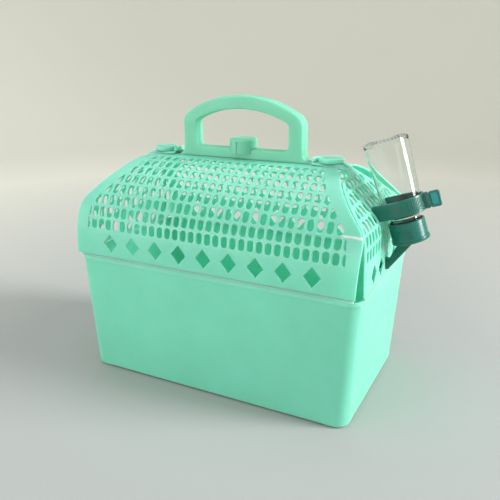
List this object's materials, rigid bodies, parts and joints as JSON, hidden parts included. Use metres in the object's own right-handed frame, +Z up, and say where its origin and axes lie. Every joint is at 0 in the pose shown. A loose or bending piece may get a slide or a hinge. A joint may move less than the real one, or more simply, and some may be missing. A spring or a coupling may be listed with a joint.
{
  "type": "small-animal carrier",
  "caption": "Open plastic tub with hinged lattice flaps that close into a vaulted lid, a split carrying handle, snap fastenings and a clip-on drinking bottle.",
  "frame": {"origin": "centre of the tub's underside, in the plane the carrier stands on", "axes": "+X along the carrier towards the drinking bottle, -Y is the front, +Z up"},
  "size_m": [0.3668, 0.1774, 0.3008],
  "materials": {
    "mint_plastic": "satin moulded polypropylene",
    "teal_plastic": "glossy moulded plastic",
    "bright_teal_plastic": "glossy moulded plastic",
    "clear_plastic": "clear moulded plastic",
    "washer_rubber": "matt"
  },
  "bodies": {
    "tub": {"tub": "mint_plastic", "front_living_hinge": "mint_plastic", "rear_living_hinge": "mint_plastic", "left_living_hinge": "mint_plastic", "right_living_hinge": "mint_plastic"},
    "front_flap": {"front_flap": "mint_plastic", "front_handle_half": "mint_plastic", "front_clip_stud": "mint_plastic", "front_left_half_stud": "mint_plastic", "front_right_half_stud": "mint_plastic"},
    "rear_flap": {"rear_flap": "mint_plastic", "rear_handle_half": "mint_plastic", "rear_clip_stud": "mint_plastic", "rear_left_half_stud": "mint_plastic", "rear_right_half_stud": "mint_plastic"},
    "left_end_flap": {"left_end_flap": "mint_plastic"},
    "right_end_flap": {"right_end_flap": "mint_plastic", "bottle_bracket": "teal_plastic", "screw_cap": "teal_plastic", "cap_washer": "washer_rubber", "drinking_spout": "teal_plastic"},
    "left_strap": {"left_strap": "mint_plastic", "left_snap_cap": "mint_plastic"},
    "right_strap": {"right_strap": "mint_plastic", "right_snap_cap": "mint_plastic"},
    "centre_clip": {"centre_clip": "mint_plastic"},
    "water_bottle": {"water_bottle": "clear_plastic"},
    "band_clasp": {"band_clasp": "bright_teal_plastic"}
  },
  "joints": [
    {"name": "front_flap_hinge", "type": "hinge", "parent": "tub", "child": "front_flap", "pos_m": [0, -0.08835, 0.1339], "axis": [1, 0, 0], "range_deg": [0, 110], "deforming": ["front_living_hinge"]},
    {"name": "rear_flap_hinge", "type": "hinge", "parent": "tub", "child": "rear_flap", "pos_m": [0, 0.08835, 0.1339], "axis": [-1, 0, 0], "range_deg": [0, 110], "deforming": ["rear_living_hinge"]},
    {"name": "left_end_flap_hinge", "type": "hinge", "parent": "tub", "child": "left_end_flap", "pos_m": [-0.15965, 0, 0.1339], "axis": [0, -1, 0], "range_deg": [0, 110], "deforming": ["left_living_hinge"]},
    {"name": "right_end_flap_hinge", "type": "hinge", "parent": "tub", "child": "right_end_flap", "pos_m": [0.15965, 0, 0.1339], "axis": [0, 1, 0], "range_deg": [0, 90], "deforming": ["right_living_hinge"]},
    {"name": "left_strap_peel", "type": "hinge", "parent": "left_end_flap", "child": "left_strap", "pos_m": [-0.11667, 0, 0.23315], "axis": [0, -1, 0], "range_deg": [0, 60]},
    {"name": "right_strap_peel", "type": "hinge", "parent": "right_end_flap", "child": "right_strap", "pos_m": [0.11667, 0, 0.23315], "axis": [0, 1, 0], "range_deg": [0, 60]},
    {"name": "centre_clip_lift", "type": "slide", "parent": "rear_flap", "child": "centre_clip", "axis": [0, 0, 1], "range_m": [0, 0.016]},
    {"name": "bottle_lift", "type": "slide", "parent": "right_end_flap", "child": "water_bottle", "axis": [-0.3206, 0, 0.9472], "range_m": [0, 0.06]},
    {"name": "band_clasp_hinge", "type": "hinge", "parent": "right_end_flap", "child": "band_clasp", "pos_m": [0.19501, -0.004, 0.20451], "axis": [-0.3206, 0, 0.9472], "range_deg": [0, 60]}
  ]
}
